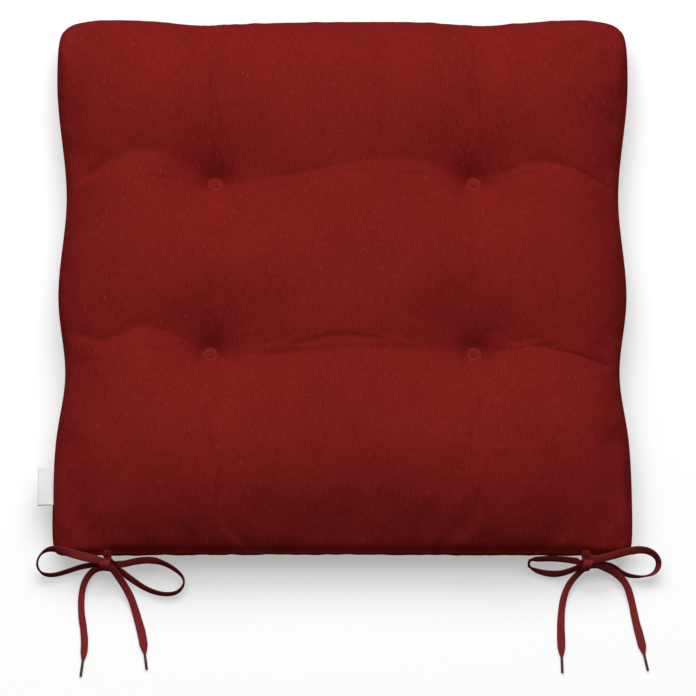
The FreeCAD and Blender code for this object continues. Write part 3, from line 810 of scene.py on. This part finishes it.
def wadding():
    """Carded polyester wadding: long fibres that cross on two slants, in soft clumps."""
    material, tree, shader = fabric("wadding", 0.10, 0.95, 0.10)
    where = add(tree, "TexCoord", {}).outputs["Object"]
    one_way = grain(tree, where, (0.0003, 0.014, 0.002), 0.42, 0.62, turn=0.5)
    other_way = grain(tree, where, (0.0003, 0.012, 0.002), 0.42, 0.62, turn=-0.8)
    clumps = grain(tree, where, (0.012, 0.012, 0.006), 0.35, 0.65, 4.0)
    fibres = maths(tree, "MAXIMUM", one_way, other_way)
    colour = covered(tree, tint(tree, clumps, (0.74, 0.74, 0.72, 1), (0.86, 0.86, 0.84, 1)),
                     (fibres, 0.6, (0.95, 0.95, 0.94, 1)))
    dress(tree, shader, colour, maths(tree, "ADD", fibres, clumps), 0.0003)
    return material


def pale_floor():
    """The studio's floor: matt, and lit a little from within."""
    material, _, shader = fabric("pale floor", 0.0, 0.9)
    shader.inputs["Base Color"].default_value = (0.60, 0.60, 0.60, 1)
    shader.inputs["Emission Color"].default_value = (1, 1, 1, 1)
    shader.inputs["Emission Strength"].default_value = 0.40
    return material


# ---- stage

def look_from(azimuth, elevation):
    """Unit vector from the pad towards something that stands at that azimuth, where 0 is in
    front of the tied edge, and elevation, both in degrees."""
    a, e = math.radians(azimuth), math.radians(elevation)
    return np.array([math.sin(a) * math.cos(e), -math.cos(a) * math.cos(e), math.sin(e)])


def aim(obj, place, target):
    """Stand a light or camera at a place, looking at the target."""
    obj.location = place
    obj.rotation_euler = (Vector(target) - Vector(place)).to_track_quat("-Z", "Y").to_euler()
    bpy.context.scene.collection.objects.link(obj)


def camera():
    """A long lens in front of the tied edge, 68 degrees above the floor."""
    target, away = np.array([0.0039, -0.0472, 0.022]), 6.76
    data = bpy.data.cameras.new("camera")
    data.lens = 502.6
    data.sensor_width = 36
    data.clip_end = 50
    eye = bpy.data.objects.new("camera", data)
    aim(eye, target + away * look_from(0, 68), target)
    bpy.context.scene.camera = eye


def soft_light(name, azimuth, elevation, distance, size, power):
    """A rectangular area light, wider than it is high, that faces the pad."""
    data = bpy.data.lights.new(name, "AREA")
    data.shape = "RECTANGLE"
    data.size, data.size_y = size
    data.energy = power
    light = bpy.data.objects.new(name, data)
    aim(light, distance * look_from(azimuth, elevation), (0, 0, 0.03))


def studio():
    """A pale floor just under the pad, and soft light from the pad's far side."""
    side, level = 15.0, -0.0003
    corners = [(x * side, y * side, level) for x, y in ((-1, -1), (1, -1), (1, 1), (-1, 1))]
    floor = mesh_piece("floor", corners, [[0, 1, 2, 3]])
    floor.data.materials.append(pale_floor())
    floor.visible_diffuse = False         # it takes shadows but throws no light back up
    floor.visible_glossy = False
    world = bpy.data.worlds.new("studio")
    world.use_nodes = True
    world.node_tree.nodes["Background"].inputs["Color"].default_value = (1, 1, 1, 1)
    world.node_tree.nodes["Background"].inputs["Strength"].default_value = 0.12
    bpy.context.scene.world = world
    soft_light("key", 185, 50, 3.0, (3.4, 1.6), 78)
    soft_light("top", 186, 84, 3.0, (3.4, 1.8), 45)
    bpy.context.scene.view_settings.view_transform = "Standard"


# ---- sewn and small pieces

THREAD = 0.00032                          # radius of the sewing thread


def seam_stitches(top):
    """A short length of thread every 3 mm along the seam, lying in the groove just inside the
    panels' edges: each is a thread bowed along its length like a shallow arch of a cosine."""
    pitch, half, bow = 0.003, 0.0011, 0.0003
    ring = top.reshape(-1, 3)[ring_order(GRID)]
    ring = np.concatenate([ring, ring[:1]])
    run = run_along(ring)
    at = np.linspace(0, run[-1], int(run[-1] / pitch), endpoint=False)
    place = np.stack([np.interp(at, run, ring[:, k]) for k in range(3)], 1)
    ahead = np.stack([np.interp((at + 0.001) % run[-1], run, ring[:, k]) for k in range(3)], 1)
    along = unit(ahead - place)
    outward = unit(np.cross(along, [0, 0, 1.0]))
    outward *= np.sign((outward * place).sum(1, keepdims=True))
    length = np.linspace(-half, half, 5)
    arch = np.stack([length, bow * np.cos(length / half * math.pi / 2), 0 * length], 1)
    axes = np.stack([along, outward, np.cross(along, outward)], 1)
    return repeat_shape(thread(arch, 0.8 * THREAD), place - half * outward, axes)


def tack_ring(x, y, height, side):
    """A round tack as sewn: thread that zigzags as a sine about a middle radius, 25 times
    round, and humps over between its turns, on a narrower second round of 17, each a little
    uneven. side is 1 on top of the pad and -1 under it."""
    shapes = []
    for legs, middle, swing, lift in ((25, 0.0040, 0.0009, 0.0004), (17, 0.0036, 0.0005, 0.0002)):
        turn = np.linspace(0, 2 * math.pi, legs * 10)
        wave = np.sin(legs * turn)
        radius = middle + swing * wave + 0.0002 * np.sin(3 * turn + x * 90)
        hump = lift * np.cos(legs * turn) ** 2 + 0.0003
        path = np.stack([x + radius * np.cos(turn), y + radius * np.sin(turn),
                         height + side * hump], 1)
        shapes.append(thread(path, THREAD))
    return shapes


def tuft_tack(index):
    """The tack above and below one tuft, and the four strands that join them through the
    filling."""
    x, y = TUFTS[index]
    shapes = tack_ring(x, y, TUFT_TOP, 1) + tack_ring(x, y, TUFT_BASE, -1)
    for quarter in range(4):
        turn = math.pi / 2 * quarter + 0.4
        height = np.linspace(TUFT_BASE - 0.0004, TUFT_TOP + 0.0004, 9)
        bow = 0.0034 - 0.0004 * np.sin((height - TUFT_BASE) / (TUFT_TOP - TUFT_BASE) * math.pi)
        path = np.stack([x + bow * math.cos(turn), y + bow * math.sin(turn), height], 1)
        shapes.append(thread(path, THREAD))
    return join_shapes(shapes)


def bar_tack(low, high):
    """A bar tack between two corners: thread laid up and down across the seam as a cosine,
    arched over, and two strands of it lengthways underneath."""
    legs, proud, arch = 15, 0.0003, 0.0004
    step = np.linspace(0, 1, legs * 12)
    swing = np.cos(math.pi * legs * step)
    middle, half = (low.z + high.z) / 2, (high.z - low.z) / 2 - THREAD
    face = low.y - proud
    zigzag = np.stack([low.x + (high.x - low.x) * step, face - arch * (1 - swing**4),
                       middle + half * swing], 1)
    shapes = [thread(zigzag, THREAD)]
    for share in (-0.4, 0.4):
        strand = np.stack([np.linspace(low.x, high.x, 12), np.full(12, face + proud),
                           np.full(12, middle + share * half)], 1)
        shapes.append(thread(strand, THREAD))
    return join_shapes(shapes)


def ribbon(path, wide, thick):
    """A flat band carried along a path, its cross-section a squared circle: wide along X, as
    far as that is square to the path, and thick square to both."""
    along = unit(np.gradient(path, axis=0))
    across = unit(np.cross(np.cross(along, [1.0, 0, 0]), along))
    outline = squared_circle(16, 0.6, 0.8) * [wide / 2, thick / 2]
    outlines = np.broadcast_to(outline, (len(path), *outline.shape))
    return sweep(path, across, np.cross(along, across), outlines, wide)


def folded_root(low, high):
    """The lace's fold where a pair leaves the seam: a flat band that comes out of the seam,
    turns round a drop-shaped loop that hangs down a little, and goes back in."""
    last, hang = 0.86 * math.pi, 0.9
    turn = np.linspace(-last, last, 40)
    reach, half = (high.y - low.y) / 2, (high.z - low.z) / 2 - 0.0004
    middle = (low.z + high.z) / 2
    y = low.y + reach - reach * np.cos(turn) + 0.0034 * (abs(turn) / last) ** 5
    z = middle + half * np.sin(turn) * (1 - 0.55 * (abs(turn) / math.pi) ** 4)
    out, up = y - high.y, z - middle
    y = high.y + out * math.cos(hang) + up * math.sin(hang)
    z = middle + out * math.sin(hang) + up * math.cos(hang)
    path = np.stack([np.full(40, (low.x + high.x) / 2), y, z], 1)
    return ribbon(path, 0.7 * (high.x - low.x), 0.0008)


def knot_band(centre, tilt, wide, reach, height, shift):
    """One wrap of the bow's knot: a flat band round a closed oval that stands across the
    laces, reach by height, leaning over by the tilt and shifted along the laces."""
    turn = np.linspace(0, 2 * math.pi, 56)
    oval = np.stack([shift + math.tan(tilt) * height * np.sin(turn) * 0.9,
                     reach * np.cos(turn), height * np.sin(turn)], 1)
    oval[:, 0] += 0.0006 * np.sin(2 * turn)
    return ribbon(np.array(centre) + oval, wide, 0.0012)


def aglet_tip(start, along, length):
    """The lace's moulded tip: circles carried along a straight line, with a flared mouth over
    the braid, two pressed rings and a rounded end."""
    at = np.linspace(0, 1, 60)
    radius = 0.00092 + 0.00022 * np.exp(-at / 0.05)
    for ring in (0.16, 0.30):
        radius -= 0.00012 * np.exp(-((at - ring) / 0.022) ** 2)
    radius *= np.sqrt(1 - np.clip((at - 0.93) / 0.071, 0, 1) ** 2)
    path = start + along * (at * length)[:, None]
    across = unit(np.cross([0, 0, 1.0], along))
    above = np.cross(along, across)
    squash = np.array([1.0, 0.86])
    outline = radius[:, None, None] * circle(18) * squash
    return sweep(path, np.broadcast_to(across, path.shape), np.broadcast_to(above, path.shape),
                 outline, 0.002)


def label_sheet(low, high):
    """The side label: a ribbon that comes out of the seam, folds over a small round and goes
    back in, curling up a little towards its fold. Its rows run round the fold. Points, faces,
    UV and the ribbon's whole length."""
    root = high.x + 0.0022
    bend = (high.z - low.z) / 2 - 0.0001
    middle = (low.z + high.z) / 2
    reach = root - low.x - bend
    half_length = reach + bend * math.pi / 2
    step = np.linspace(-1, 1, 61)
    straight = reach / half_length
    past = np.clip((abs(step) - (1 - straight)) / straight, 0, 1)
    turn = np.clip(step / (1 - straight), -1, 1) * math.pi / 2
    x = low.x + bend - bend * np.cos(turn) + past * reach
    z = middle + bend * np.sin(turn) * (1 - 0.5 * past**2)
    width = np.linspace(0, 1, 45)
    y = low.y + (high.y - low.y) * width
    out = ((root - x) / (root - low.x))[:, None]
    curl = 0.0011 * out**2 * np.sin(width * math.pi * 1.15 + 0.3)
    points = np.stack([np.broadcast_to(x[:, None], curl.shape), y + 0.0002 * np.sin(out * 5),
                       z[:, None] + curl], -1)
    uv = np.stack(np.meshgrid(step * half_length, y, indexing="ij"), -1)
    faces = grid_faces(len(step), len(width)).tolist()
    return points.reshape(-1, 3), faces, uv.reshape(-1, 2), 2 * half_length


# ---- the object, piece by piece

def belongs(piece, body, slot, material, *nodes):
    """Give a piece its body, its material and the CAD nodes that it stands for, which it hides. The
    slot is not used.
    """
    piece.data.materials.append(material)
    if nodes:
        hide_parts(*nodes)
    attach(piece, body)


def build_pad(finishes):
    """The cover's panels, their filling, the seam's thread and the tufts' tacks."""
    u, v = cloth_grid(GRID)
    top, base = surface_points(top_surface, u, v), surface_points(base_surface, u, v)
    top, base = puff_up(top, base)
    for node, grid, side in (("cover_top", top, 1), ("cover_bottom", base, -1)):
        panel = cover_panel(node + "_panel", grid, u, v, side)
        belongs(panel, "pad", "cover_cloth", finishes["cloth"], node)
    for node, slot, low, high, rows in (("wadding_bottom", "wadding", 0.06, 0.20, 6),
                                        ("foam_core", "foam", 0.215, 0.785, 12),
                                        ("wadding_top", "wadding", 0.80, 0.93, 6)):
        layer = filling_layer(node + "_layer", top, base, low, high, rows)
        belongs(layer, "pad", slot, finishes[slot], node)
    stitches = mesh_piece("seam_thread", *seam_stitches(top))
    belongs(stitches, "pad", "sewing_thread", finishes["thread"], "seam_stitching")
    for index, node in enumerate(TUFT_NAMES):
        tack = mesh_piece(node.replace("stitch", "tack"), *tuft_tack(index))
        belongs(tack, "pad", "sewing_thread", finishes["thread"], node)


def build_lace(name, finishes):
    """One lace with its moulded tip."""
    body = BODY_OF[name]
    lace, path, at = make_lace(name)
    belongs(lace, body, "lace", finishes["lace"], name)
    tip_node = name.replace("tie", "aglet")
    low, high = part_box(tip_node)
    along = unit(path[-1] - path[-12]) * [1, 1, 0]
    length = math.hypot(high.x - low.x, high.y - low.y) + 0.0006
    start = path[-1] * [1, 1, 0] + [0, 0, (low.z + high.z) / 2 - 0.0005]
    tip = mesh_piece(tip_node + "_tip", *aglet_tip(start - 0.001 * along, unit(along), length))
    belongs(tip, body, "lace_tip", finishes["tip"], tip_node)


def build_ties(finishes):
    """Each bow's root and bar tack, the wraps of its knot, and its two laces."""
    for side in ("left", "right"):
        body = "bow_" + side
        tack = mesh_piece("bar_tack_" + side, *bar_tack(*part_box("tie_tack_" + side)))
        belongs(tack, "pad", "sewing_thread", finishes["thread"], "tie_tack_" + side)
        low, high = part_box("tie_root_" + side)
        root = mesh_piece("folded_root_" + side, *folded_root(low, high))
        belongs(root, body, "lace", finishes["lace"], "tie_root_" + side)
        wraps = [knot_band(*wrap) for wrap in knot_wraps(side, (low.x + high.x) / 2)]
        knot = mesh_piece("knot_" + side, *join_shapes(wraps))
        belongs(knot, body, "lace", finishes["lace"])
        for name in sorted(name for name in ROUTES if BODY_OF[name] == body):
            build_lace(name, finishes)


def knot_wraps(side, middle):
    """The wraps of a bow's knot: centre, tilt, width, reach, rise and shift of each."""
    mirror = 1 if side == "left" else -1
    centre = (middle + 0.0004 * mirror, NEAR_SEAM - 0.0064, 0.0156)
    return [(centre, -0.50 * mirror, 0.0036, 0.0033, 0.0052, -0.0012 * mirror),
            (centre, -0.30 * mirror, 0.0034, 0.0036, 0.0055, 0.0012 * mirror)]


def build_label(finishes):
    """The blank woven label in the left seam."""
    points, faces, uv, length = label_sheet(*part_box("side_label"))
    label = mesh_piece("folded_label", points, faces, uv)
    wall = label.modifiers.new("ribbon thickness", "SOLIDIFY")
    wall.thickness = 0.00028
    wall.offset = 0
    belongs(label, "label", "label_ribbon", finishes["label"], "side_label")


finishes = {
    "cloth": cover_cloth(),
    "thread": sewing_thread(),
    "foam": foam(),
    "wadding": wadding(),
    "lace": lace_braid(),
    "tip": moulded_tip(),
    "label": label_ribbon(),
}

camera()
studio()
build_pad(finishes)
build_ties(finishes)
build_label(finishes)
